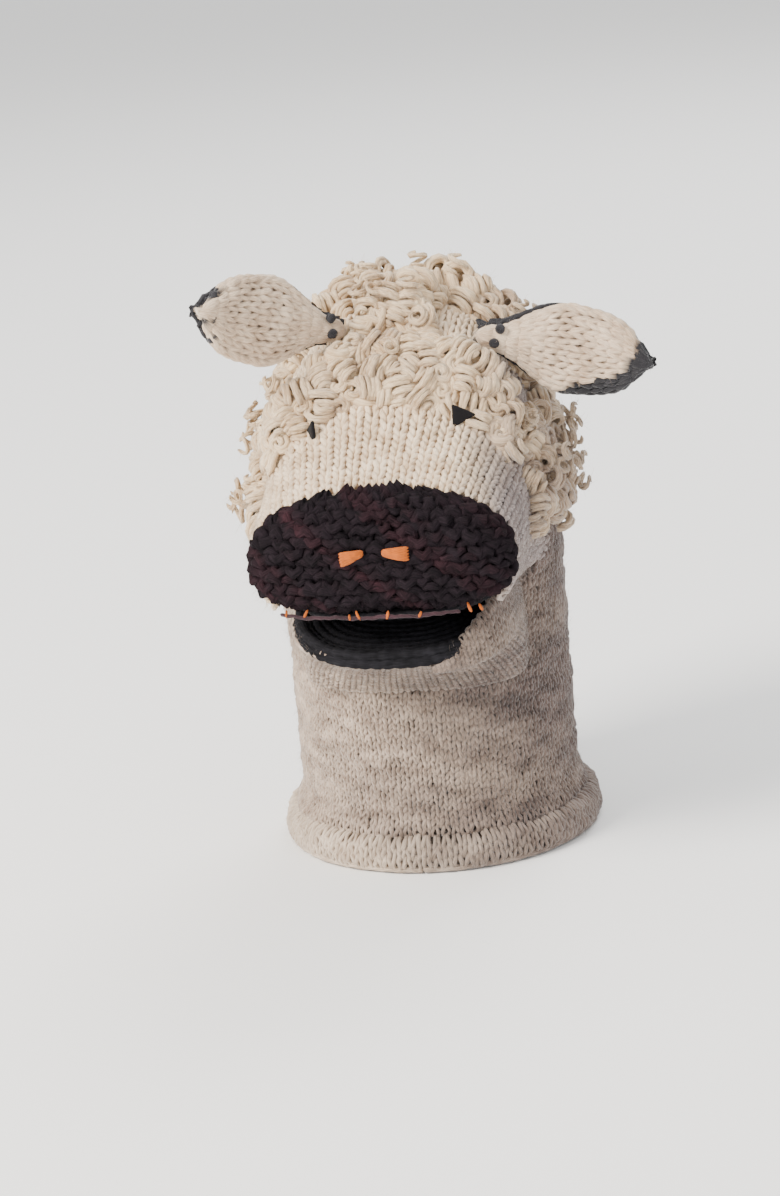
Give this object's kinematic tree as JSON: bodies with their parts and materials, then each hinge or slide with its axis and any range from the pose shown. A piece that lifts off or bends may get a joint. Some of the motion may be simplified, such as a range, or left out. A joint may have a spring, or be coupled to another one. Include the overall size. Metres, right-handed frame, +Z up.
{
  "type": "hand puppet",
  "caption": "Knitted woolly lamb hand puppet: a sleeve for the arm, a hinged mouth, a curly fleece and floppy ears.",
  "frame": {"origin": "centre of the arm opening, in the plane of the hem's lower edge", "axes": "+Z up the sleeve towards the crown, -Y the way the muzzle looks, +X towards the ear named right (left and right as seen from the front)"},
  "size_m": [0.1702, 0.184, 0.2463],
  "materials": {
    "hem_wool": "heather handspun wool",
    "heather_wool": "heather handspun wool, stockinette",
    "cream_wool": "cream wool, stockinette",
    "grey_wool": "fuzzy grey wool, stockinette",
    "nose_wool": "dark wool, bumpy reverse knit",
    "orange_yarn": "orange yarn stitches",
    "black_wool": "black wool, garter ridges",
    "felt": "wool felt",
    "fleece": "curly locks of roving",
    "charcoal_wool": "charcoal wool"
  },
  "bodies": {
    "sleeve": {"hem": "hem_wool", "sleeve_lower": "heather_wool", "sleeve_flex": "heather_wool"},
    "neck": {"neck_band": "heather_wool", "neck_flex": "heather_wool"},
    "head": {"head_back": "heather_wool", "muzzle_top": "cream_wool", "cheek_left": "grey_wool", "cheek_right": "grey_wool", "nose_patch": "nose_wool", "nostril_left": "orange_yarn", "nostril_right": "orange_yarn", "lip_stitches": "orange_yarn", "mouth_roof": "black_wool", "eye_left": "felt", "eye_right": "felt", "fleece_fringe": "fleece", "fleece_top": "fleece", "fleece_crown": "fleece", "fleece_left": "fleece", "fleece_right": "fleece", "fleece_nape": "fleece", "throat": "grey_wool"},
    "jaw": {"jaw_shell": "grey_wool", "jaw_lining": "black_wool", "jaw_lip": "black_wool"},
    "ear_left": {"ear_left_face": "cream_wool", "ear_left_back": "charcoal_wool", "ear_left_knots": "charcoal_wool"},
    "ear_right": {"ear_right_face": "cream_wool", "ear_right_back": "charcoal_wool", "ear_right_knots": "charcoal_wool"}
  },
  "joints": [
    {"name": "neck_tilt", "type": "hinge", "parent": "sleeve", "child": "neck", "pos_m": [0, 0, 0.036], "axis": [0, 1, 0], "range_deg": [-15, 15], "deforming": ["sleeve_flex"]},
    {"name": "head_nod", "type": "hinge", "parent": "neck", "child": "head", "pos_m": [0, 0, 0.078], "axis": [1, 0, 0], "range_deg": [-20, 18], "deforming": ["neck_flex"]},
    {"name": "jaw_open", "type": "hinge", "parent": "head", "child": "jaw", "pos_m": [0, -0.038, 0.1155], "axis": [1, 0, 0], "range_deg": [-8, 20], "deforming": ["throat"]},
    {"name": "ear_left_flop", "type": "hinge", "parent": "head", "child": "ear_left", "pos_m": [-0.023, -0.027, 0.218], "axis": [0.6691, -0.7431, 0], "range_deg": [-30, 12], "stiffness_Nm_per_rad": 0.05},
    {"name": "ear_right_flop", "type": "hinge", "parent": "head", "child": "ear_right", "pos_m": [0.037, -0.028, 0.2125], "axis": [0, 1, 0], "range_deg": [-40, 8], "stiffness_Nm_per_rad": 0.05}
  ]
}
